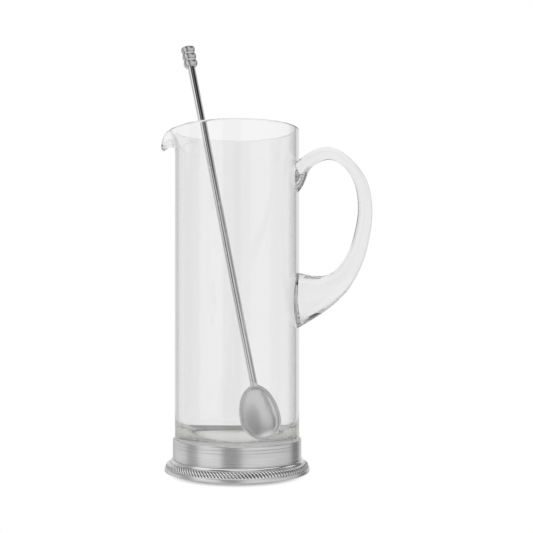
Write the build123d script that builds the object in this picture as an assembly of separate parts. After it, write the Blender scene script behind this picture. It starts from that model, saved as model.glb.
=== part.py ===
from build123d import *
from math import asin, atan2, cos, degrees, radians
import os

# A glass cocktail pitcher in a turned metal base, with its stirring spoon standing in it.
# Millimetres, +Z up. The origin is the middle of the foot's underside. The handle is on +X
# and the pouring lip on -X.

# Glass body
pitcher_height = 257.0
glass_diameter = 94.0
glass_wall = 3.0
glass_bottom_thickness = 12.3
bottom_corner_radius = 4.0
floor_corner_radius = 22.0

# Pouring lip: a wide flare, and a narrow tip that is drawn further out and down
lip_half_angle = 50.0
lip_tip_half_angle = 18.0
lip_root_drop = 30.0
lip_flare_overhang = 6.6
lip_overhang = 13.2
lip_tip_drop = 11.7
lip_swell = 0.05
lip_overlap_angle = 0.5
lip_overlap_height = 1.0
lip_section_count = 21

# Glass handle: sections of the drawn bar from the upper root to the lower one. Each has its
# outer edge and its inner edge, as (out from the glass, below the rim), and its breadth.
handle_sections = [
    ((-4.5, 28.5), (-2.5, 51.5), 16.5),
    ((3.0, 22.8), (3.2, 44.0), 15.0),
    ((9.7, 18.6), (8.5, 32.2), 13.8),
    ((17.0, 16.1), (15.5, 26.9), 13.0),
    ((24.5, 15.9), (23.0, 25.3), 12.5),
    ((34.0, 20.4), (29.3, 27.5), 12.5),
    ((44.5, 30.7), (37.0, 34.7), 12.6),
    ((52.0, 44.0), (42.6, 46.0), 12.9),
    ((55.0, 62.0), (44.5, 62.0), 13.4),
    ((53.6, 79.5), (42.3, 78.0), 14.2),
    ((48.4, 100.2), (37.2, 93.5), 15.2),
    ((39.0, 118.5), (29.0, 105.5), 16.6),
    ((27.8, 130.9), (21.0, 110.2), 18.0),
    ((14.0, 141.0), (11.5, 110.5), 19.4),
    ((-4.5, 152.0), (-4.5, 107.5), 21.0),
]

# Metal base: walls are measured outwards from its bore, heights from one step to the next
glass_clearance = 0.25
foot_wall = 7.45
foot_rim_height = 2.8
foot_rim_round = 0.6
foot_contact_width = 3.7
foot_recess_height = 1.8
ledge_width = 2.25
ledge_thickness = 1.2
flare_height = 4.5
flare_top_wall = 3.05
bead_height = 2.9
bead_root_wall = 1.85
bead_wall = 2.95
collar_height = 14.3
collar_wall = 1.25
collar_line_drops = [2.9, 5.2]
collar_line_depth = 0.2
collar_line_width = 0.4
rope_margin = 0.4
rope_bulge = 1.15

# Plate and adhesive bed under the glass
plate_thickness = 2.0
plate_clearance = 0.2
bed_thickness = 0.6

# Spoon
spoon_heading = 142.0
spoon_roll = 16.0
spoon_tip_inset = 15.0
spoon_clearance = 0.3
seating_steps = 5
bowl_length = 45.5
bowl_width = 31.5
bowl_depth = 8.0
bowl_metal = 1.8
bowl_widest = 24.5
neck_length = 7.0
neck_sink = 5.0
stem_length = 258.0
stem_neck_diameter = 5.2
stem_top_diameter = 6.0
tenon_diameter = 3.2
tenon_length = 4.0
tenon_clearance = 0.05
finial_diameter = 11.4
finial_waist_diameter = 8.4
finial_bead_count = 3
finial_bead_pitch = 6.2
finial_top_cut = 2.3

# Levels and radii that follow from the sizes above
glass_radius = glass_diameter / 2
bore_radius = glass_radius - glass_wall
wall_middle = glass_radius - glass_wall / 2
ledge_top = foot_recess_height + ledge_thickness
plate_top = ledge_top + plate_thickness
glass_bottom = plate_top + bed_thickness
floor_level = glass_bottom + glass_bottom_thickness
lip_root_level = pitcher_height - lip_root_drop
base_bore_radius = glass_radius + glass_clearance
foot_radius = base_bore_radius + foot_wall
flare_top_radius = base_bore_radius + flare_top_wall
flare_top_level = foot_rim_height + flare_height
collar_radius = base_bore_radius + collar_wall
collar_seat_level = flare_top_level + bead_height
collar_top_level = collar_seat_level + collar_height


def turned(outline, sweep=360):
    """Solid of revolution about Z from a closed outline of (radius, height) points."""
    return revolve(Plane.XZ * make_face(outline), Axis.Z, sweep)


def make_cup():
    """Thick-bottomed cylinder with a rounded rim."""
    corner = bottom_corner_radius
    shoulder = pitcher_height - glass_wall / 2
    bottom = Polyline((0, floor_level), (0, glass_bottom), (glass_radius - corner, glass_bottom))
    heel = RadiusArc(bottom @ 1, (glass_radius, glass_bottom + corner), -corner)
    outer = Line(heel @ 1, (glass_radius, shoulder))
    rim = ThreePointArc(outer @ 1, (wall_middle, pitcher_height), (bore_radius, shoulder))
    inner = Line(rim @ 1, (bore_radius, floor_level + floor_corner_radius))
    hollow = RadiusArc(inner @ 1, (bore_radius - floor_corner_radius, floor_level), floor_corner_radius)
    return turned(bottom + heel + outer + rim + inner + hollow + Line(hollow @ 1, bottom @ 0))


def make_lip_gap():
    """Sector of the upper wall that the lip takes the place of."""
    height = pitcher_height + glass_wall - lip_root_level
    band = Pos(glass_radius, lip_root_level + height / 2) * Rectangle(4 * glass_wall, height)
    reach = lip_half_angle - lip_overlap_angle
    sector = revolve(Plane.XZ * band, Axis.Z, 2 * reach)
    return Rot(0, 0, 180 - reach) * sector


def pull(angle, half_angle):
    """Share of a pull that is left at an angle from the lip's middle."""
    return cos(radians(90 * min(abs(angle) / half_angle, 1))) ** 2


def lip_middle(angle):
    """Middle line of the wall at an angle from the lip's middle, as (out, below the rim)."""
    narrow = pull(angle, lip_tip_half_angle)
    out = lip_flare_overhang * pull(angle, lip_half_angle)
    out += (lip_overhang - lip_flare_overhang) * narrow
    length = lip_root_drop - glass_wall / 2
    fall = (lip_tip_drop - glass_wall / 2) * narrow**2
    # Shares of the wall's length, of the way out and of the fall, from the root to the edge
    stations = [
        (0, 0, 0),
        (0.35, 0.01, 0.05),
        (0.62, 0.08, 0.09),
        (0.82, 0.35, 0.29),
        (0.92, 0.70, 0.56),
        (1, 1, 1),
    ]
    return [(out * spread, lip_root_drop - length * up + fall * sag) for up, spread, sag in stations]


def lip_section(angle):
    """Section of the lip in the upright plane at an angle from its middle."""
    middle = lip_middle(angle)
    half = glass_wall / 2 + lip_swell
    outer, inner = [], []
    for i, (out, drop) in enumerate(middle):
        before = middle[max(i - 1, 0)]
        after = middle[min(i + 1, len(middle) - 1)]
        along = Vector(after[0] - before[0], before[1] - after[1]).normalized()
        across = Vector(along.Y, -along.X) * half
        point = Vector(wall_middle + out, pitcher_height - drop)
        outer.append(point + across)
        inner.append(point - across)
    foot = Vector(0, -lip_overlap_height)
    outside = Line(outer[0] + foot, outer[0]) + Spline(outer)
    end = ThreePointArc(outer[-1], point + along * half, inner[-1])
    inside = Spline(inner[::-1]) + Line(inner[0], inner[0] + foot)
    section = make_face(outside + end + inside + Line(inner[0] + foot, outer[0] + foot))
    return Rot(0, 0, 180 + angle) * (Plane.XZ * section)


def make_glass_body():
    """The cup, its rim, and the lip pulled out of it."""
    step = 2 * lip_half_angle / (lip_section_count - 1)
    lip = loft([lip_section(i * step - lip_half_angle) for i in range(lip_section_count)])
    return make_cup() - make_lip_gap() + lip


def make_glass_handle():
    """Drawn bar through elliptical sections, its two roots fitted to the glass."""
    sections = []
    for outer, inner, breadth in handle_sections:
        edge = Vector(glass_radius + outer[0], 0, pitcher_height - outer[1])
        depth = Vector(inner[0] - outer[0], 0, outer[1] - inner[1])
        across = Plane(edge + depth * 0.5, x_dir=depth, z_dir=depth.cross(Vector(0, 1, 0)))
        sections.append(across * Ellipse(depth.length / 2, breadth / 2))
    return loft(sections) - Cylinder(glass_radius, 2 * pitcher_height)


def make_base_foot():
    """Flared foot: ground rim, seat for the border, bead, and the ledge under the plate."""
    ledge_radius = base_bore_radius - ledge_width
    toe_radius = foot_radius - foot_rim_round
    contact_radius = toe_radius - foot_contact_width
    bead_root = base_bore_radius + bead_root_wall
    under = Polyline(
        (base_bore_radius, collar_seat_level),
        (base_bore_radius, ledge_top),
        (ledge_radius, ledge_top),
        (ledge_radius, foot_recess_height),
        (contact_radius, foot_recess_height),
        (contact_radius, 0),
        (toe_radius, 0),
    )
    toe = RadiusArc(under @ 1, (foot_radius, foot_rim_round), -foot_rim_round)
    rim = Line(toe @ 1, (foot_radius, foot_rim_height - foot_rim_round))
    brow = RadiusArc(rim @ 1, (toe_radius, foot_rim_height), -foot_rim_round)
    flare = Polyline(brow @ 1, (flare_top_radius, flare_top_level), (bead_root, flare_top_level))
    bead_crown = (base_bore_radius + bead_wall, flare_top_level + bead_height / 2)
    bead = ThreePointArc(flare @ 1, bead_crown, (bead_root, collar_seat_level))
    return turned(under + toe + rim + brow + flare + bead + Line(bead @ 1, under @ 0))


def make_rope_border():
    """Half-round border on the flare of the foot."""
    low = Vector(foot_radius - foot_rim_round, foot_rim_height)
    high = Vector(flare_top_radius, flare_top_level)
    along = (high - low).normalized()
    outward = Vector(along.Y, -along.X)
    start = low + along * rope_margin
    end = high - along * rope_margin
    crown = ThreePointArc(start, (start + end) * 0.5 + outward * rope_bulge, end)
    return turned(crown + Line(end, start))


def make_base_collar():
    """Turned band round the glass, with a rolled top edge and fine lines cut under it."""
    roll = collar_wall / 2
    shoulder = collar_top_level - roll
    corners = [(base_bore_radius, collar_seat_level), (collar_radius, collar_seat_level)]
    for drop in reversed(collar_line_drops):
        level = collar_top_level - drop
        corners += [
            (collar_radius, level - collar_line_width / 2),
            (collar_radius - collar_line_depth, level),
            (collar_radius, level + collar_line_width / 2),
        ]
    wall = Polyline(*corners, (collar_radius, shoulder))
    top = ThreePointArc(
        wall @ 1, (base_bore_radius + roll, collar_top_level), (base_bore_radius, shoulder)
    )
    return turned(wall + top + Line(top @ 1, wall @ 0))


def make_base_plate():
    """Disc on the ledge of the foot."""
    disc = Cylinder(base_bore_radius - plate_clearance, plate_thickness)
    return Pos(0, 0, ledge_top + plate_thickness / 2) * disc


def make_adhesive_bed():
    """Thin bed between the plate and the flat of the glass."""
    disc = Cylinder(glass_radius - bottom_corner_radius, bed_thickness)
    return Pos(0, 0, plate_top + bed_thickness / 2) * disc


# The spoon is made along its own Z, with the tip of its bowl at 0 and the hollow facing +Y.
neck_top = bowl_length + neck_length
stem_top = neck_top + stem_length


def egg(length, width, depth, inset):
    """Egg-shaped solid as deep as the bowl on both sides, moved in from the tip by an inset."""
    widest = inset + (length - 2 * inset) * (length - bowl_widest) / length
    half = width / 2 - inset
    tip = EllipticalCenterArc((0, widest), half, widest - inset, start_angle=270, arc_size=90)
    heel = EllipticalCenterArc((0, widest), half, length - inset - widest, start_angle=0, arc_size=90)
    outline = make_face(tip + heel + Line((0, length - inset), (0, inset)))
    whole = revolve(Plane.XZ * outline, Axis.Z)
    return scale(whole, by=(1, (depth - inset) / half, 1))


def make_spoon_bowl():
    """Egg-shaped bowl with a short round neck, bored for the stem."""
    block = Pos(0, bowl_width, bowl_length / 2) * Box(2 * bowl_width, 2 * bowl_width, 2 * bowl_length)
    shell = egg(bowl_length, bowl_width, bowl_depth, 0) - block
    neck_radius = stem_neck_diameter / 2
    neck_reach = neck_length + neck_sink
    neck = Pos(0, 0, neck_top - neck_reach / 2) * Cylinder(neck_radius, neck_reach)
    hollow = egg(bowl_length, bowl_width, bowl_depth, bowl_metal)
    socket_depth = tenon_length + tenon_clearance
    socket = Pos(0, 0, neck_top - socket_depth / 2)
    socket *= Cylinder(tenon_diameter / 2 + tenon_clearance, socket_depth)
    return shell + neck - hollow - socket


def make_spoon_stem():
    """Tapered round stem with a tenon at each end."""
    outline = Polyline(
        (0, neck_top - tenon_length),
        (tenon_diameter / 2, neck_top - tenon_length),
        (tenon_diameter / 2, neck_top),
        (stem_neck_diameter / 2, neck_top),
        (stem_top_diameter / 2, stem_top),
        (tenon_diameter / 2, stem_top),
        (tenon_diameter / 2, stem_top + tenon_length),
        (0, stem_top + tenon_length),
        close=True,
    )
    return turned(outline)


def make_spoon_finial():
    """Knop of rounded beads in a stack, the top one cut flat, bored for the stem."""
    waist = finial_waist_diameter / 2
    socket_radius = tenon_diameter / 2 + tenon_clearance
    socket_top = stem_top + tenon_length + tenon_clearance
    knop_top = stem_top + finial_bead_count * finial_bead_pitch
    outline = Polyline(
        (waist, knop_top),
        (0, knop_top),
        (0, socket_top),
        (socket_radius, socket_top),
        (socket_radius, stem_top),
        (waist, stem_top),
    )
    for i in range(finial_bead_count):
        low = stem_top + i * finial_bead_pitch
        high = low + finial_bead_pitch
        outline += ThreePointArc((waist, low), (finial_diameter / 2, (low + high) / 2), (waist, high))
    flat = Plane.XY.offset(knop_top - finial_top_cut)
    return split(turned(outline), bisect_by=flat, keep=Keep.BOTTOM)


def spoon_place(stand_off, slide):
    """Place of the spoon when its line passes the rim at a stand-off, slid down along that line."""
    tip = Vector(spoon_tip_inset - bore_radius, floor_level + floor_corner_radius)
    to_rim = Vector(wall_middle, pitcher_height) - tip
    lean = degrees(atan2(to_rim.X, to_rim.Y) - asin(stand_off / to_rim.length))
    leaning = Pos(tip.X, 0, tip.Y) * Rot(0, lean, 0) * Pos(0, 0, -slide)
    return Rot(0, 0, spoon_heading) * leaning * Rot(0, 0, 90 - spoon_roll)


def seat_spoon(bowl, stem, glass):
    """Lean the stem on the rim and slide the bowl down to the floor, a clearance from each."""
    stand_off = glass_wall + stem_top_diameter
    slide = 0.0
    for _ in range(seating_steps):
        place = spoon_place(stand_off, slide)
        stand_off -= (place * stem).distance_to(glass) - spoon_clearance
        slide += (place * bowl).distance_to(glass) - spoon_clearance
    return spoon_place(stand_off, slide)


os.makedirs("parts", exist_ok=True)

glass_body = make_glass_body()
spoon_bowl = make_spoon_bowl()
spoon_stem = make_spoon_stem()
seat = seat_spoon(spoon_bowl, spoon_stem, glass_body)

nodes = {
    "glass_body": glass_body,
    "glass_handle": make_glass_handle(),
    "base_collar": make_base_collar(),
    "base_foot": make_base_foot(),
    "rope_border": make_rope_border(),
    "base_plate": make_base_plate(),
    "adhesive_bed": make_adhesive_bed(),
    "spoon_bowl": seat * spoon_bowl,
    "spoon_stem": seat * spoon_stem,
    "spoon_finial": seat * make_spoon_finial(),
}
for name, solid in nodes.items():
    export_step(solid, f"parts/{name}.step")
    print(name, "volume", round(solid.volume, 1), "valid", solid.is_valid)
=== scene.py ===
from math import asin, atan2, cos, degrees, hypot, pi, radians, sin, sqrt, tan

import bmesh
import bpy
from mathutils import Matrix, Vector


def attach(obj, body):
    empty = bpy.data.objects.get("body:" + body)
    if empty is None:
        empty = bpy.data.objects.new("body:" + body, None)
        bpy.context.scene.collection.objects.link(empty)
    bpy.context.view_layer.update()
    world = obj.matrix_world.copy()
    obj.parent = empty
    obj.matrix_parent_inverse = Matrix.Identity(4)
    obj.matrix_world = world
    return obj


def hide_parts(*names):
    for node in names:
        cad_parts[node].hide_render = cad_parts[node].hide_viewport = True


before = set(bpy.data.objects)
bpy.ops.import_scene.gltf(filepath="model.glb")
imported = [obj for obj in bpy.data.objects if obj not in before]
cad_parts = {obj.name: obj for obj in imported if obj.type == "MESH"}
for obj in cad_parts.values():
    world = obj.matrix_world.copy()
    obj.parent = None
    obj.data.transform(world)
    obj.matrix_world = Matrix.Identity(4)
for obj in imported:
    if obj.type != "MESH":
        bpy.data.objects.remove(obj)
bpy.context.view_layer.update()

# A glass cocktail pitcher in a turned pewter base, with its stirring spoon standing in it.
# Metres, +Z up. The origin is the middle of the foot's underside, the handle is on +X and the
# pouring lip on -X.
MM = 0.001

# Points nearer than this are one point
MERGE = 0.0001 * MM

# Steps round a turned piece
ROUND = 192

# Edges sharper than this, in degrees, stay crisp
SHARP = 40

# Attribute that says how deep in a groove a point lies, for the tarnish and painted shade there
TARNISH_AND_SHADE = "tarnish_and_shade"

# Glass body
rim_level = 257 * MM
glass_radius = 47 * MM
glass_wall = 3 * MM
glass_bottom = 5.6 * MM
floor_level = 17.9 * MM
heel_round = 4 * MM
floor_round = 22 * MM
bond_depth = 0.05 * MM
glass_round = 240
disc_rows = 6
heel_rows = 10
wall_rows = 150
rim_rows = 12
bore_rows = 30
floor_rows = 20
bore_radius = glass_radius - glass_wall
wall_middle = glass_radius - glass_wall / 2
shoulder = rim_level - glass_wall / 2

# Pouring lip: a wide flare, and a narrow tip that is drawn further out and down. From the root to
# the edge, its stations are shares of the wall's length, of the way out and of the fall.
lip_half_angle = 50
lip_tip_half_angle = 18
lip_root_drop = 30 * MM
lip_flare_overhang = 6.6 * MM
lip_overhang = 13.2 * MM
lip_tip_drop = 11.7 * MM
lip_stations = [0, 0.35, 0.62, 0.82, 0.92, 1]
lip_spread_and_sag = [(0, 0), (0.01, 0.05), (0.08, 0.09), (0.35, 0.29), (0.70, 0.56), (1, 1)]
lip_rows = 48
lip_root_level = rim_level - lip_root_drop

# Glass handle: sections from the upper root to the lower one, each with its outer edge and its
# inner edge, as (out from the glass, below the rim), and its breadth, in millimetres
handle_sections = [
    (-4.5, 28.5, -2.5, 51.5, 16.5),
    (3.0, 22.8, 3.2, 44.0, 15.0),
    (9.7, 18.6, 8.5, 32.2, 13.8),
    (17.0, 16.1, 15.5, 26.9, 13.0),
    (24.5, 15.9, 23.0, 25.3, 12.5),
    (34.0, 20.4, 29.3, 27.5, 12.5),
    (44.5, 30.7, 37.0, 34.7, 12.6),
    (52.0, 44.0, 42.6, 46.0, 12.9),
    (55.0, 62.0, 44.5, 62.0, 13.4),
    (53.6, 79.5, 42.3, 78.0, 14.2),
    (48.4, 100.2, 37.2, 93.5, 15.2),
    (39.0, 118.5, 29.0, 105.5, 16.6),
    (27.8, 130.9, 21.0, 110.2, 18.0),
    (14.0, 141.0, 11.5, 110.5, 19.4),
    (-4.5, 152.0, -4.5, 107.5, 21.0),
]
handle_rows = 150
handle_sides = 56

# Its two welds, each between a share of the bar's length inside the wall and one outside it
handle_ends = [(0, 0.2), (1, 0.85)]
weld_rows = 6
weld_depth = 0.3 * MM
weld_halvings = 40

# Metal base
base_bore = 47.25 * MM
foot_radius = 54.7 * MM
foot_rim_height = 2.8 * MM
foot_rim_round = 0.6 * MM
foot_contact_width = 3.7 * MM
foot_recess_height = 1.8 * MM
ledge_radius = 45 * MM
ledge_top = 3 * MM
flare_top_radius = 50.3 * MM
flare_top_level = 7.3 * MM
bead_root = 49.1 * MM
bead_crown = 50.4 * MM
bead_crown_level = 7.8 * MM
bead_lower_turn = 80
bead_top = 49.4 * MM
bead_top_level = 9.1 * MM
bead_upper_turn = 50
bead_groove = 48.1 * MM
collar_seat = 10.2 * MM
collar_top = 24.5 * MM
collar_radius = 48.5 * MM
collar_line_levels = [19.3 * MM, 21.6 * MM]
collar_line_depth = 0.2 * MM
collar_line_width = 0.4 * MM
edge_break = 0.12 * MM
edge_rows = 3
round_rows = 8
roll_rows = 14

# Rope border on the flare. Its slant is the number of strands that it leans over from edge to edge.
# From the slack's start, in degrees, the slant falls by up to the slack, and comes back over half a
# turn, so that the lay is slacker on the handle's side
rope_margin = 0.4 * MM
rope_bulge = 1.15 * MM
rope_strands = 132
rope_steps = 10
rope_rows = 12
rope_depth = 0.5 * MM
rope_slant = 2.0
rope_slack = 1.8
rope_slack_start = -80

# Spoon, made along its own Z with the tip of its bowl at 0 and the hollow facing +Y
spoon_tip = Vector((27.355, -21.372, 22.387)) * MM
spoon_lean = 18.07
spoon_heading = 142
spoon_roll = 16
bowl_length = 45.5 * MM
bowl_half_width = 15.75 * MM
bowl_depth = 8 * MM
bowl_edge = 1.6 * MM
bowl_edge_crown = 0.3 * MM
bowl_edge_share = 1 / 9
bowl_widest = 21 * MM
bowl_rows = 56
bowl_sides = 108
bowl_smoothings = 2
neck_radius = 2.6 * MM
neck_fillet = 1.6 * MM
neck_rows = 10
neck_top = 52.5 * MM
neck_blend_start = bowl_length - 3.5 * MM
neck_blend_end = bowl_length + 1 * MM
stem_top = 310.5 * MM
stem_top_radius = 3 * MM
stem_round = 64
stem_rows = 60
tenon_radius = 1.6 * MM
tenon_length = 4 * MM
tenon_clearance = 0.05 * MM
finial_radius = 5.7 * MM
finial_waist = 4.2 * MM
finial_beads = 3
finial_pitch = 6.2 * MM
finial_top_cut = 2.3 * MM
finial_round = 96
finial_bead_rows = 16
finial_cut_rows = 12

# The camera that the photograph was taken with, in front of the object and a little to its right
camera_turn = 15
camera_distance = 703.3 * MM
camera_height = 122.3 * MM
camera_lens = 62.8
camera_shift = (0.0552, 0.0784)

# White sweep that the pitcher stands on. Round the foot it is grey, a painted shadow that also
# takes the real one; it lies a little towards the camera, and fades out over its reach
sweep_radius = 4
sweep_sides = 96
shadow_shift = 20 * MM
shadow_reach = (38 * MM, 51 * MM)

# Brightness of the studio that gloss mirrors, as (degrees round from the camera, level): its white
# walls, the room above them, the upper room and overhead. Each band but the first has the heights,
# in degrees, over which it takes over from the one below
wall_levels = [
    (-180, 0.9), (-168, 0.9), (-164, 0.64), (-142, 0.64), (-138, 0.8), (-101, 0.8), (-98, 0.45),
    (-74, 0.45), (-72, 0.95), (-28, 0.95), (-24, 0.38), (4, 0.38), (10, 0.82), (40, 0.88), (70, 0.8),
    (100, 0.7), (111, 0.62), (115, 0.25), (140, 0.25), (144, 0.75), (162, 0.75), (166, 0.9), (180, 0.9),
]
room_levels = [
    (-180, 0.9), (-150, 0.9), (-136, 0.4), (-86, 0.4), (-80, 1), (-52, 1), (-47, 0.06), (-22, 0.06),
    (-8, 0.85), (30, 0.85), (40, 0.28), (92, 0.28), (102, 0.8), (122, 0.85), (126, 0.12), (148, 0.12),
    (154, 0.9), (180, 0.9),
]
upper_levels = [
    (-180, 0.9), (-150, 0.9), (-136, 0.35), (-112, 0.35), (-104, 0.8), (-54, 0.8), (-48, 0.08),
    (-16, 0.08), (-6, 0.2), (8, 0.2), (18, 0.03), (98, 0.03), (148, 0.1), (154, 0.9), (180, 0.9),
]
overhead_levels = [(-180, 1), (180, 1)]
studio_bands = [(room_levels, (10, 18)), (upper_levels, (35, 41)), (overhead_levels, (47, 52))]

# Brightness of what is seen through solid glass, in the same way. It goes over to the top level
# above the one range of heights, and to white below the other
through_levels = [
    (-180, 1), (-150, 1), (-130, 0.85), (-120, 0.5), (-60, 0.6), (60, 0.6), (80, 0.05), (126, 0.05),
    (134, 0.85), (150, 1), (180, 1),
]
through_top_level = 0.15
through_top_heights = (42, 50)
through_low_heights = (-8, -14)

# Counts that part one view from another, each halfway between two whole numbers: a view mirrored
# more often than the first is a reflection, and one that passes more glass surfaces than the second
# has crossed the empty inside of the pitcher
unmirrored_depth = 0.5
solid_glass_depth = 3.5


# Shapes


def through(stations, values, at):
    """Values at a station on the smooth line through values given at rising stations."""
    last = len(stations) - 1
    i = min(max(sum(1 for s in stations if s <= at) - 1, 0), last - 1)

    def slope(k, item):
        a, b = max(k - 1, 0), min(k + 1, last)
        return (values[b][item] - values[a][item]) / (stations[b] - stations[a])

    span = stations[i + 1] - stations[i]
    t = (at - stations[i]) / span
    result = []
    for item in range(len(values[0])):
        start, end = values[i][item], values[i + 1][item]
        bend_in, bend_out = slope(i, item) * span, slope(i + 1, item) * span
        turn = 3 * (end - start) - 2 * bend_in - bend_out
        swing = 2 * (start - end) + bend_in + bend_out
        result.append(start + t * (bend_in + t * (turn + t * swing)))
    return result


def ease(low, high, at):
    """0 below low, 1 above high, smooth between."""
    t = min(max((at - low) / (high - low), 0), 1)
    return t * t * (3 - 2 * t)


def drawn(bm, start, moves):
    """Line in the XZ plane. A move is its end, as (radius, height), the degrees that it turns to
    the left on the way there, and its number of steps."""
    pen = bm.verts.new((start[0], 0, start[1]))
    for radius, height, turn, steps in moves:
        end = Vector((radius, 0, height))
        if turn:
            chord = end - pen.co
            left = Vector((-chord.z, 0, chord.x))
            centre = pen.co + chord / 2 + left / (2 * tan(radians(turn) / 2))
            arc = bmesh.ops.spin(
                bm, geom=[pen], cent=centre, axis=(0, -1, 0), angle=radians(turn), steps=steps
            )
            pen = arc["geom_last"][0]
        else:
            corner = pen.co.copy()
            for step in range(steps):
                point = bm.verts.new(corner.lerp(end, (step + 1) / steps))
                bm.edges.new((pen, point))
                pen = point


def turned(start, moves, steps=ROUND):
    """Closed skin lathed round Z from a drawn line."""
    bm = bmesh.new()
    drawn(bm, start, moves)
    bmesh.ops.spin(
        bm,
        geom=bm.verts[:] + bm.edges[:],
        cent=(0, 0, 0),
        axis=(0, 0, 1),
        angle=2 * pi,
        steps=steps,
        use_merge=True,
    )
    bmesh.ops.remove_doubles(bm, verts=bm.verts, dist=MERGE)
    return bm


def wrapped(rows, sides, place):
    """Closed skin rolled from a grid: place gives the point for a row and an angle round it."""
    bm = bmesh.new()
    bmesh.ops.create_grid(bm, x_segments=rows, y_segments=sides, size=0.5)
    for vert in bm.verts:
        row = round((vert.co.x + 0.5) * rows)
        side = round((vert.co.y + 0.5) * sides) % sides
        vert.co = place(row, 2 * pi * side / sides)
    bmesh.ops.remove_doubles(bm, verts=bm.verts, dist=MERGE)
    return bm


def add_piece(name, bm, finishes, body, node, slot):
    """Piece that rides on a body and stands for a CAD node, which it hides. Its slot is not used."""
    bmesh.ops.recalc_face_normals(bm, faces=bm.faces)
    mesh = bpy.data.meshes.new(name)
    bm.to_mesh(mesh)
    bm.free()
    mesh.shade_smooth()
    mesh.set_sharp_from_angle(angle=radians(SHARP))
    for finish in finishes:
        mesh.materials.append(finish)
    piece = bpy.data.objects.new(name, mesh)
    bpy.context.scene.collection.objects.link(piece)
    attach(piece, body)
    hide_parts(node)


def pull(angle, half_angle):
    """Share of a pull that is left at an angle from the lip's middle."""
    return cos(radians(90 * min(abs(angle) / half_angle, 1))) ** 2


def lip_middle(angle, share):
    """Middle line of the wall at an angle from the lip's middle, as (out, height)."""
    narrow = pull(angle, lip_tip_half_angle)
    out = lip_flare_overhang * pull(angle, lip_half_angle)
    out += (lip_overhang - lip_flare_overhang) * narrow
    fall = (lip_tip_drop - glass_wall / 2) * narrow**2
    spread, sag = through(lip_stations, lip_spread_and_sag, share)
    return Vector((out * spread, lip_root_level + (shoulder - lip_root_level) * share - fall * sag))


def pull_lip(bm):
    """Pull the pouring lip out of the wall, which keeps its thickness and its round edge."""
    nudge = 0.01
    for vert in bm.verts:
        x, y, z = vert.co
        radius = hypot(x, y)
        angle = degrees(atan2(-y, -x))
        if z <= lip_root_level or abs(angle) >= lip_half_angle:
            continue
        share = min((z - lip_root_level) / (shoulder - lip_root_level), 1)
        middle = lip_middle(angle, share)
        along = lip_middle(angle, min(share + nudge, 1)) - lip_middle(angle, max(share - nudge, 0))
        along.normalize()
        across = Vector((along.y, -along.x))
        point = middle + across * (radius - wall_middle) + along * max(z - shoulder, 0)
        reach = (wall_middle + point.x) / radius
        vert.co = (x * reach, y * reach, point.y)


def handle_point(at, angle):
    """Point on the skin of the drawn bar, at a share of its length and an angle round it."""
    stations = list(range(len(handle_sections)))
    section = through(stations, handle_sections, at * stations[-1])
    outer_out, outer_drop, inner_out, inner_drop, breadth = (value * MM for value in section)
    towards = (1 + cos(angle)) / 2
    out = inner_out + (outer_out - inner_out) * towards
    drop = inner_drop + (outer_drop - inner_drop) * towards
    return Vector((glass_radius + out, breadth / 2 * sin(angle), rim_level - drop))


def weld_share(inside, outside, angle, depth):
    """Share of the bar's length where its skin at an angle comes to a depth in the glass wall."""
    for _ in range(weld_halvings):
        share = (inside + outside) / 2
        point = handle_point(share, angle)
        if hypot(point.x, point.y) < glass_radius - depth:
            inside = share
        else:
            outside = share
    return share


def fuse(bm, inside, outside):
    """Mark the oval of the outer wall that an end of the handle covers, and round its outline."""
    edges = [handle_point(weld_share(inside, outside, a, 0), a) for a in (0, pi / 2, pi)]
    middle = (edges[0].z + edges[2].z) / 2
    half_height, half_breadth = abs(edges[0].z - edges[2].z) / 2, edges[1].y

    def out_of(point):
        """Distance from the oval's middle, 1 on its outline."""
        return hypot((point.z - middle) / half_height, point.y / half_breadth)

    covered = set()
    for face in bm.faces:
        centre = face.calc_center_median()
        on_outer_wall = centre.x > wall_middle / 2 and hypot(centre.x, centre.y) > wall_middle
        if on_outer_wall and out_of(centre) < 1:
            face.material_index = 1
            covered.add(face)
    for vert in {vert for face in covered for vert in face.verts}:
        if not covered.issuperset(vert.link_faces):
            vert.co.z = middle + (vert.co.z - middle) / out_of(vert.co)
            vert.co.y /= out_of(vert.co)
            vert.co.x = sqrt(glass_radius**2 - vert.co.y**2)


def make_glass_body():
    """Blown cylinder with a thick bottom, its foot set into the adhesive bed."""
    low = glass_bottom - bond_depth
    heel_top = glass_bottom + heel_round
    bm = turned(
        (0, low),
        [
            (glass_radius - heel_round, low, 0, disc_rows),
            (glass_radius, heel_top, 90, heel_rows),
            (glass_radius, lip_root_level, 0, wall_rows),
            (glass_radius, shoulder, 0, lip_rows),
            (bore_radius, shoulder, 180, rim_rows),
            (bore_radius, lip_root_level, 0, lip_rows),
            (bore_radius, floor_level + floor_round, 0, bore_rows),
            (bore_radius - floor_round, floor_level, -90, floor_rows),
            (0, floor_level, 0, disc_rows),
        ],
        glass_round,
    )
    for inside, outside in handle_ends:
        fuse(bm, inside, outside)
    pull_lip(bm)
    return bm


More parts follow.
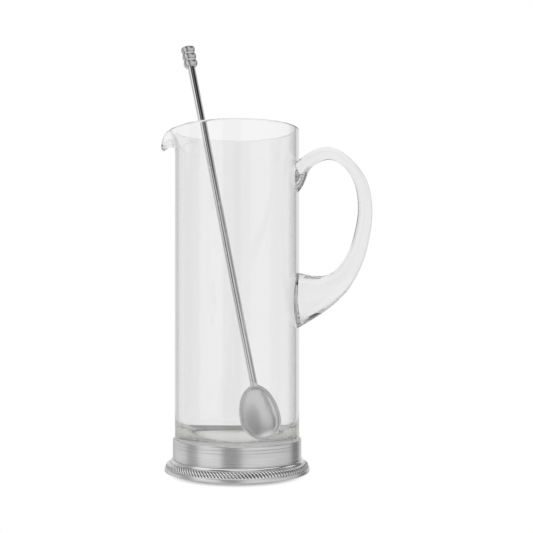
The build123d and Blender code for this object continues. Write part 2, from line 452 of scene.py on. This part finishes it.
def make_glass_handle():
    """Drawn bar whose two ends run into the wall of the glass, with no face between them."""
    sides = [2 * pi * i / handle_sides for i in range(handle_sides)]
    starts, ends = ({a: weld_share(*end, a, weld_depth) for a in sides} for end in handle_ends)
    last = handle_rows + 2 * weld_rows

    def on_bar(share, angle):
        return handle_point(starts[angle] + (ends[angle] - starts[angle]) * share, angle)

    def middle_of(share):
        return sum((on_bar(share, angle) for angle in sides), Vector()) / handle_sides

    middles = [middle_of(0), middle_of(1)]

    def place(row, angle):
        share = min(max((row - weld_rows) / handle_rows, 0), 1)
        point = on_bar(share, angle)
        from_end = min(row, last - row)
        if from_end < weld_rows:
            point = middles[round(share)].lerp(point, from_end / weld_rows)
            point.x = sqrt((glass_radius - weld_depth) ** 2 - point.y**2)
        return point

    bm = wrapped(last, handle_sides, place)
    for face in bm.faces:
        radii = [hypot(vert.co.x, vert.co.y) for vert in face.verts]
        face.material_index = int(max(radii) < glass_radius - weld_depth / 2)
    return bm


def make_base_foot():
    """Spun foot: ground rim, flare for the border, bright bead with a groove over it, and the
    ledge under the plate."""
    toe = foot_radius - foot_rim_round
    contact = toe - foot_contact_width
    bm = turned(
        (base_bore, collar_seat),
        [
            (base_bore, ledge_top, 0, 1),
            (ledge_radius, ledge_top, 0, 1),
            (ledge_radius, foot_recess_height, 0, 1),
            (contact - edge_break, foot_recess_height, 0, 1),
            (contact, foot_recess_height - edge_break, 0, 1),
            (contact, edge_break, 0, 1),
            (contact + edge_break, 0, -90, edge_rows),
            (toe, 0, 0, 1),
            (foot_radius, foot_rim_round, 90, round_rows),
            (foot_radius, foot_rim_height - foot_rim_round, 0, 1),
            (toe, foot_rim_height, 90, round_rows),
            (flare_top_radius, flare_top_level, 0, 4),
            (bead_root, flare_top_level, 0, 1),
            (bead_crown, bead_crown_level, bead_lower_turn, round_rows),
            (bead_top, bead_top_level, bead_upper_turn, round_rows),
            (bead_groove, bead_top_level, 0, 1),
            (bead_groove, collar_seat, 0, 1),
            (base_bore, collar_seat, 0, 1),
        ],
    )
    for face in bm.faces:
        middle = face.calc_center_median()
        if middle.z > flare_top_level and hypot(middle.x, middle.y) > bead_top:
            face.material_index = 1
    return bm


def make_rope_border():
    """Half-round border cut into slanting strands, like the lay of a rope."""
    low = Vector((foot_radius - foot_rim_round, foot_rim_height))
    high = Vector((flare_top_radius, flare_top_level))
    along = (high - low).normalized()
    outward = Vector((along.y, -along.x))
    start = low + along * rope_margin
    end = high - along * rope_margin
    crown_turn = degrees(4 * atan2(rope_bulge, (end - start).length / 2))
    bm = turned(
        start,
        [(end.x, end.y, crown_turn, rope_rows), (start.x, start.y, 0, 1)],
        rope_strands * rope_steps,
    )
    # How deep each point lies in a groove, for the tarnish and painted shade that darken it
    tarnish_and_shade = bm.verts.layers.float.new(TARNISH_AND_SHADE)
    for vert in bm.verts:
        radius = hypot(vert.co.x, vert.co.y)
        turn = atan2(vert.co.y, vert.co.x)
        from_start = Vector((radius, vert.co.z)) - start
        raised = min(2 * from_start.dot(outward) / rope_bulge, 1)
        up = from_start.dot(along) / (end - start).length
        groove = 1 - abs(cos(rope_strands * turn / 2))
        sunk = rope_depth * raised * groove
        radius -= sunk * outward.x
        slant = rope_slant - rope_slack * max(sin(turn - radians(rope_slack_start)), 0)
        turn -= 2 * pi * slant / rope_strands * up
        vert.co = (radius * cos(turn), radius * sin(turn), vert.co.z - sunk * outward.y)
        vert[tarnish_and_shade] = groove
    return bm


def make_base_collar():
    """Spun band round the glass, with a rolled top edge and two fine lines turned under it."""
    roll = (collar_radius - base_bore) / 2
    half = collar_line_width / 2
    moves = [(collar_radius - edge_break, collar_seat, 0, 1)]
    moves.append((collar_radius, collar_seat + edge_break, 90, edge_rows))
    for level in collar_line_levels:
        moves.append((collar_radius, level - half, 0, 6))
        moves.append((collar_radius - collar_line_depth, level, 0, 2))
        moves.append((collar_radius, level + half, 0, 2))
    moves.append((collar_radius, collar_top - roll, 0, 4))
    moves.append((base_bore, collar_top - roll, 180, roll_rows))
    moves.append((base_bore, collar_seat, 0, 1))
    return turned((base_bore, collar_seat), moves)


def egg_half_width(level, inset):
    """Half the width of the bowl's outline, moved in by an inset, at a level along the spoon."""
    length = bowl_length - 2 * inset
    widest = inset + length * bowl_widest / bowl_length
    reach = widest - inset if level < widest else bowl_length - inset - widest
    share = min(abs(level - widest) / reach, 1)
    return (bowl_half_width - inset) * sqrt(1 - share**2)


def make_spoon_bowl():
    """Egg-shaped bowl with a rounded edge, drawn out into a short round neck."""
    last = bowl_rows + neck_rows + 1

    def place(row, angle):
        along = min(row / bowl_rows, 1)
        level = bowl_length * (1 - cos(pi * along)) / 2
        if row > bowl_rows:
            level += (neck_top - bowl_length) * min((row - bowl_rows) / neck_rows, 1)
        if row == last:
            return Vector((0, 0, neck_top))
        own = egg_half_width(level, 0)
        neck = neck_radius * ease(0, bowl_widest, level)
        fillet = neck_fillet * ease(0, bowl_widest, level) * (1 - ease(bowl_length, neck_top, level))
        width = (own + neck + hypot(own - neck, fillet)) / 2
        hollow = egg_half_width(level, bowl_edge)
        hollow_depth = hollow * (bowl_depth - bowl_edge) / (bowl_half_width - bowl_edge)
        if sin(angle) <= 0:
            x, y = width * cos(angle), width * bowl_depth / bowl_half_width * sin(angle)
        else:
            from_rim = min(angle, pi - angle) / (pi / 2)
            towards = 1 if angle < pi / 2 else -1
            if from_rim < bowl_edge_share:
                over = from_rim / bowl_edge_share
                x, y = towards * (width + (hollow - width) * over), bowl_edge_crown * sin(pi * over)
            else:
                sweep = (from_rim - bowl_edge_share) / (1 - bowl_edge_share) * pi / 2
                x, y = towards * hollow * cos(sweep), -hollow_depth * sin(sweep)
        bowl_point = Vector((x, y, level))
        neck_point = Vector((width * cos(angle), neck_radius * sin(angle), level))
        return bowl_point.lerp(neck_point, ease(neck_blend_start, neck_blend_end, level))

    bm = wrapped(last, bowl_sides, place)
    rounded = [vert for vert in bm.verts if vert.co.z < (bowl_length + neck_top) / 2]
    for _ in range(bowl_smoothings):
        bmesh.ops.smooth_vert(
            bm, verts=rounded, factor=0.5, use_axis_x=True, use_axis_y=True, use_axis_z=True
        )
    for face in bm.faces:
        face.material_index = int(face.calc_center_median().z > bowl_length - neck_radius)
    return bm


def make_spoon_stem():
    """Drawn taper with a tenon at each end."""
    return turned(
        (0, neck_top - tenon_length),
        [
            (tenon_radius, neck_top - tenon_length, 0, 1),
            (tenon_radius, neck_top, 0, 1),
            (neck_radius, neck_top, 0, 1),
            (stem_top_radius, stem_top, 0, stem_rows),
            (tenon_radius, stem_top, 0, 1),
            (tenon_radius, stem_top + tenon_length, 0, 1),
            (0, stem_top + tenon_length, 0, 1),
        ],
        stem_round,
    )


def make_spoon_finial():
    """Knop of three rounded beads in a stack, the top one cut flat."""
    socket = tenon_radius + tenon_clearance
    socket_top = stem_top + tenon_length + tenon_clearance
    swell = finial_radius - finial_waist
    half = finial_pitch / 2
    bend = (half**2 + swell**2) / (2 * swell)
    bead_turn = degrees(2 * asin(half / bend))
    cut_turn = degrees(asin(half / bend) + asin((half - finial_top_cut) / bend))
    cut_radius = finial_radius - bend + sqrt(bend**2 - (half - finial_top_cut) ** 2)
    top = stem_top + finial_beads * finial_pitch - finial_top_cut
    moves = [(socket, socket_top, 0, 1), (socket, stem_top, 0, 1), (finial_waist, stem_top, 0, 1)]
    for i in range(1, finial_beads):
        moves.append((finial_waist, stem_top + i * finial_pitch, bead_turn, finial_bead_rows))
    moves.append((cut_radius, top, cut_turn, finial_cut_rows))
    moves.append((cut_radius - edge_break, top + edge_break, 45, edge_rows))
    moves.append((0, top + edge_break, 0, 4))
    return turned((0, socket_top), moves, finial_round)


# Materials


def linear(hex_colour):
    """sRGB hex as linear RGBA."""
    channels = [int(hex_colour[i : i + 2], 16) / 255 for i in (1, 3, 5)]
    return [c / 12.92 if c <= 0.04045 else ((c + 0.055) / 1.055) ** 2.4 for c in channels] + [1]


def add(tree, kind, inputs=(), **settings):
    """Node with its settings. An input is a value, or another node's output to link."""
    node = tree.nodes.new("ShaderNode" + kind)
    for name, value in settings.items():
        setattr(node, name, value)
    for socket, value in dict(inputs).items():
        if isinstance(value, bpy.types.NodeSocket):
            tree.links.new(value, node.inputs[socket])
        else:
            node.inputs[socket].default_value = value
    return node


def new_material(name):
    """Empty material, and its node tree."""
    material = bpy.data.materials.new(name)
    material.use_nodes = True
    material.node_tree.nodes.clear()
    return material, material.node_tree


def soda_lime_glass(name, tint):
    """Clear soda-lime glass, worked hot and fire-polished: a sharp gloss on a surface that is never
    quite flat, so that edges and reflections waver a little, and a faint grey where it is thick."""
    material, tree = new_material(name)
    coords = add(tree, "TexCoord").outputs["Object"]
    wave_width = 24 * MM
    wave_height = 0.003 * MM
    stretched = add(tree, "Mapping", {"Vector": coords, "Scale": (1, 1, 0.2)})
    waves = add(
        tree,
        "TexNoise",
        {"Vector": stretched.outputs[0], "Scale": 1 / wave_width, "Detail": 1.0, "Roughness": 0.4},
    )
    surface = add(tree, "Bump", {"Height": waves.outputs[0], "Strength": 1.0, "Distance": wave_height})
    shader = add(
        tree,
        "BsdfPrincipled",
        {
            "Base Color": linear(tint),
            "Roughness": 0.0,
            "IOR": 1.52,
            "Transmission Weight": 1.0,
            "Normal": surface.outputs[0],
        },
    )
    # Light for a matt surface passes straight through, so that it comes to what the glass shuts in
    path = add(tree, "LightPath").outputs
    light = add(tree, "Math", {0: path["Is Shadow Ray"], 1: path["Is Diffuse Ray"]}, operation="MAXIMUM")
    clear = add(tree, "BsdfTransparent")
    either = add(tree, "MixShader", {0: light.outputs[0], 1: shader.outputs[0], 2: clear.outputs[0]})
    add(tree, "OutputMaterial", {"Surface": either.outputs[0]})
    return material


def fused_glass():
    """Soda-lime glass that is fused to glass: there is no surface left to see."""
    material, tree = new_material("fused_soda_lime_glass")
    clear = add(tree, "BsdfTransparent")
    add(tree, "OutputMaterial", {"Surface": clear.outputs[0]})
    return material


def satin_pewter(name, colours, brushed, line_depth, softness, stretch):
    """Pewter, brushed to a satin finish: soft reflections drawn out across the fine lines that the
    brush leaves, lighter and darker. Brushed is how the pattern of lines is squeezed."""
    material, tree = new_material(name)
    coords = add(tree, "TexCoord").outputs["Object"]
    cloud_width = 9 * MM
    clouds = add(
        tree, "TexNoise", {"Vector": coords, "Scale": 1 / cloud_width, "Detail": 3.0, "Roughness": 0.55}
    )
    # The brush's own lines are too fine to show, so they are drawn wider
    line_width = 0.9 * MM
    squeezed = add(tree, "Mapping", {"Vector": coords, "Scale": brushed})
    lines = add(
        tree,
        "TexNoise",
        {"Vector": squeezed.outputs[0], "Scale": 1 / line_width, "Detail": 2.0, "Roughness": 0.7},
    )
    colour = add(
        tree,
        "Mix",
        {0: lines.outputs[0], 6: linear(colours[0]), 7: linear(colours[1])},
        data_type="RGBA",
    )
    # Tarnish and painted shade in the grooves, out of the brush's reach: the deeper, the darker
    left = add(tree, "Attribute", attribute_name=TARNISH_AND_SHADE)
    grooves = add(tree, "MapRange", {"Value": left.outputs["Fac"], "From Min": 0.2, "From Max": 0.75})
    colour = add(
        tree,
        "Mix",
        {0: grooves.outputs[0], 6: colour.outputs[2], 7: linear("#464646")},
        data_type="RGBA",
    )
    rough = add(
        tree,
        "MapRange",
        {"Value": clouds.outputs[0], "To Min": softness - 0.04, "To Max": softness + 0.05},
    )
    surface = add(tree, "Bump", {"Height": lines.outputs[0], "Strength": 1.0, "Distance": line_depth})
    shader = add(
        tree,
        "BsdfPrincipled",
        {
            "Base Color": colour.outputs[2],
            "Metallic": 1.0,
            "Roughness": rough.outputs[0],
            "Anisotropic": stretch,
            "Anisotropic Rotation": 0.25,
            "Normal": surface.outputs[0],
        },
    )
    add(tree, "OutputMaterial", {"Surface": shader.outputs[0]})
    return material


def polished_pewter(name, colours):
    """Pewter, buffed: near-mirror reflections with faint smears from handling."""
    material, tree = new_material(name)
    coords = add(tree, "TexCoord").outputs["Object"]
    smear_width = 6 * MM
    smears = add(
        tree, "TexNoise", {"Vector": coords, "Scale": 1 / smear_width, "Detail": 4.0, "Roughness": 0.6}
    )
    colour = add(
        tree,
        "Mix",
        {0: smears.outputs[0], 6: linear(colours[0]), 7: linear(colours[1])},
        data_type="RGBA",
    )
    rough = add(tree, "MapRange", {"Value": smears.outputs[0], "To Min": 0.04, "To Max": 0.09})
    shader = add(
        tree,
        "BsdfPrincipled",
        {"Base Color": colour.outputs[2], "Metallic": 1.0, "Roughness": rough.outputs[0]},
    )
    add(tree, "OutputMaterial", {"Surface": shader.outputs[0]})
    return material


def cured_silicone():
    """Cured silicone, spread with a comb: milky, with trapped air paler in it."""
    material, tree = new_material("cured_milky_silicone")
    coords = add(tree, "TexCoord").outputs["Object"]
    air_width = 5 * MM
    air = add(tree, "TexNoise", {"Vector": coords, "Scale": 1 / air_width, "Detail": 2.0})
    colour = add(
        tree,
        "Mix",
        {0: air.outputs[0], 6: linear("#F0F0EE"), 7: linear("#FAFAF9")},
        data_type="RGBA",
    )
    rough = add(tree, "MapRange", {"Value": air.outputs[0], "To Min": 0.3, "To Max": 0.5})
    shader = add(
        tree,
        "BsdfPrincipled",
        {"Base Color": colour.outputs[2], "Roughness": rough.outputs[0], "IOR": 1.41},
    )
    add(tree, "OutputMaterial", {"Surface": shader.outputs[0]})
    return material


# Studio


def add_camera():
    """Level camera at the photograph's angle."""
    turn = radians(camera_turn)
    data = bpy.data.cameras.new("camera")
    data.lens = camera_lens
    data.shift_x, data.shift_y = camera_shift
    camera = bpy.data.objects.new("camera", data)
    camera.location = (camera_distance * sin(turn), -camera_distance * cos(turn), camera_height)
    camera.rotation_euler = (pi / 2, 0, turn)
    bpy.context.scene.collection.objects.link(camera)
    bpy.context.scene.camera = camera


def add_floor():
    """White sweep: matt and grey round the foot, a painted shadow that keeps the real shadow too, and
    plain white farther out.
    """
    bm = bmesh.new()
    bmesh.ops.create_circle(bm, cap_ends=True, segments=sweep_sides, radius=sweep_radius)
    mesh = bpy.data.meshes.new("white_sweep")
    bm.to_mesh(mesh)
    bm.free()
    floor = bpy.data.objects.new("white_sweep", mesh)
    bpy.context.scene.collection.objects.link(floor)
    floor.visible_glossy = False
    floor.visible_transmission = False
    material, tree = new_material("white_paper_with_painted_shadow")
    coords = add(tree, "TexCoord").outputs["Object"]
    turn = radians(camera_turn)
    nearer = (-shadow_shift * sin(turn), shadow_shift * cos(turn), 0)
    around = add(tree, "Mapping", {"Vector": coords, "Location": nearer})
    away = add(tree, "VectorMath", {0: around.outputs[0]}, operation="LENGTH")
    far = add(
        tree,
        "MapRange",
        {"Value": away.outputs["Value"], "From Min": shadow_reach[0], "From Max": shadow_reach[1]},
        interpolation_type="SMOOTHSTEP",
    )
    # Grey paper round the foot: a painted shadow, which takes the real shade as well
    matt = add(tree, "BsdfDiffuse", {"Color": linear("#BEBEBE")})
    plain = add(tree, "Emission", {"Color": linear("#FFFFFF"), "Strength": 1.0})
    both = add(tree, "MixShader", {0: far.outputs[0], 1: matt.outputs[0], 2: plain.outputs[0]})
    add(tree, "OutputMaterial", {"Surface": both.outputs[0]})
    mesh.materials.append(material)


def add_light():
    """White studio. Gloss mirrors the bands of its walls and rooms, solid glass shows the tones that
    are set for what is seen through it, and all else is lit by plain white."""
    world = bpy.data.worlds.new("white_studio")
    bpy.context.scene.world = world
    world.use_nodes = True
    tree = world.node_tree
    tree.nodes.clear()
    white = linear("#FFFFFF")
    way = add(tree, "TexCoord").outputs["Generated"]
    facing = add(
        tree, "VectorRotate", {"Vector": way, "Angle": radians(-camera_turn)}, rotation_type="Z_AXIS"
    )
    axes = add(tree, "SeparateXYZ", {0: facing.outputs[0]}).outputs
    front = add(tree, "Math", {0: axes["Y"], 1: -1.0}, operation="MULTIPLY")
    # Angle round from the camera, to the right as positive, as a share of the way from -180 to 180
    turn = add(tree, "Math", {0: axes["X"], 1: front.outputs[0]}, operation="ARCTAN2")
    share = add(tree, "MapRange", {"Value": turn.outputs[0], "From Min": -pi, "From Max": pi})

    def shade(levels):
        """Level that goes with the angle round from the camera."""
        ramp = add(tree, "ValToRGB", {0: share.outputs[0]})
        stops = ramp.color_ramp.elements
        for _ in levels[2:]:
            stops.new(0.5)
        for stop, (degrees_round, level) in zip(stops, levels):
            stop.position = degrees_round / 360 + 0.5
            stop.color = (level, level, level, 1)
        return ramp.outputs[0]

    def over(heights, before, after, easing):
        """One view that goes over to another from the first height to the second."""
        first, second = (sin(radians(height)) for height in heights)
        rise = add(
            tree,
            "MapRange",
            {"Value": axes["Z"], "From Min": first, "From Max": second},
            interpolation_type=easing,
        )
        return add(tree, "Mix", {0: rise.outputs[0], 6: before, 7: after}, data_type="RGBA").outputs[2]

    studio = shade(wall_levels)
    for levels, heights in studio_bands:
        studio = over(heights, studio, shade(levels), "SMOOTHSTEP")
    top = (through_top_level, through_top_level, through_top_level, 1)
    beyond = over(through_top_heights, shade(through_levels), top, "LINEAR")
    beyond = over(through_low_heights, beyond, white, "LINEAR")

    path = add(tree, "LightPath").outputs
    mirrored = add(tree, "Math", {0: path["Glossy Depth"], 1: unmirrored_depth}, operation="GREATER_THAN")
    crossed = add(
        tree, "Math", {0: path["Transmission Depth"], 1: solid_glass_depth}, operation="GREATER_THAN"
    )
    shown = white
    for kind, view in (
        (path["Is Transmission Ray"], beyond),
        (crossed.outputs[0], white),
        (mirrored.outputs[0], studio),
    ):
        shown = add(tree, "Mix", {0: kind, 6: shown, 7: view}, data_type="RGBA").outputs[2]
    sky = add(tree, "Background", {"Color": shown, "Strength": 1.0})
    add(tree, "OutputWorld", {"Surface": sky.outputs[0]})


add_camera()
add_floor()
add_light()

glass = soda_lime_glass("clear_blown_soda_lime_glass", "#F6F6F6")
drawn_glass = soda_lime_glass("clear_drawn_soda_lime_glass", "#ECECEC")
fused = fused_glass()
grey = ("#BEBEBE", "#F0F0F0")
pale = ("#E0E0E0", "#FAFAFA")
spun = satin_pewter(
    "spun_satin_pewter", grey, brushed=(0.02, 0.02, 1), line_depth=0.012 * MM, softness=0.31, stretch=0.6
)
cut = satin_pewter(
    "cut_bright_pewter", pale, brushed=(1, 1, 1), line_depth=0.001 * MM, softness=0.15, stretch=0.0
)
# Paler than the spun satin: painted light, for the light that reaches the bowl from all round inside the
# glass
brushed = satin_pewter(
    "brushed_satin_pewter_painted_light", pale, brushed=(1, 1, 0.05), line_depth=0.001 * MM, softness=0.33, stretch=0.0
)
buffed = polished_pewter("buffed_drawn_pewter", ("#E2E2E2", "#F0F0F0"))
handled = polished_pewter("buffed_turned_pewter", ("#BABABA", "#D0D0D0"))

spoon_seat = (
    Matrix.Translation(spoon_tip)
    @ Matrix.Rotation(radians(spoon_heading), 4, "Z")
    @ Matrix.Rotation(radians(spoon_lean), 4, "Y")
    @ Matrix.Rotation(radians(90 - spoon_roll), 4, "Z")
)

for name, bm, finishes, node, slot in (
    ("blown_body", make_glass_body(), [glass, fused], "glass_body", "clear_glass"),
    ("drawn_handle", make_glass_handle(), [drawn_glass, fused], "glass_handle", "clear_glass"),
    ("spun_foot", make_base_foot(), [spun, cut], "base_foot", "satin_pewter"),
    ("cut_rope", make_rope_border(), [cut], "rope_border", "satin_pewter"),
    ("spun_collar", make_base_collar(), [spun], "base_collar", "satin_pewter"),
):
    add_piece(name, bm, finishes, "pitcher", node, slot)
for name, bm, finishes, node, slot in (
    ("spoon_egg_bowl", make_spoon_bowl(), [brushed, buffed], "spoon_bowl", "satin_pewter"),
    ("spoon_drawn_stem", make_spoon_stem(), [buffed], "spoon_stem", "polished_pewter"),
    ("spoon_knop", make_spoon_finial(), [handled], "spoon_finial", "polished_pewter"),
):
    bmesh.ops.transform(bm, matrix=spoon_seat, verts=bm.verts)
    add_piece(name, bm, finishes, "spoon", node, slot)

for node, finish in (("base_plate", spun), ("adhesive_bed", cured_silicone())):
    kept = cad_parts[node].data.materials
    kept.clear()
    kept.append(finish)

# Thick glass passes light on many times before it comes out
scene = bpy.context.scene
scene.cycles.max_bounces = 128
scene.cycles.diffuse_bounces = 8
scene.cycles.glossy_bounces = 96
scene.cycles.transmission_bounces = 96
scene.view_settings.view_transform = "Standard"
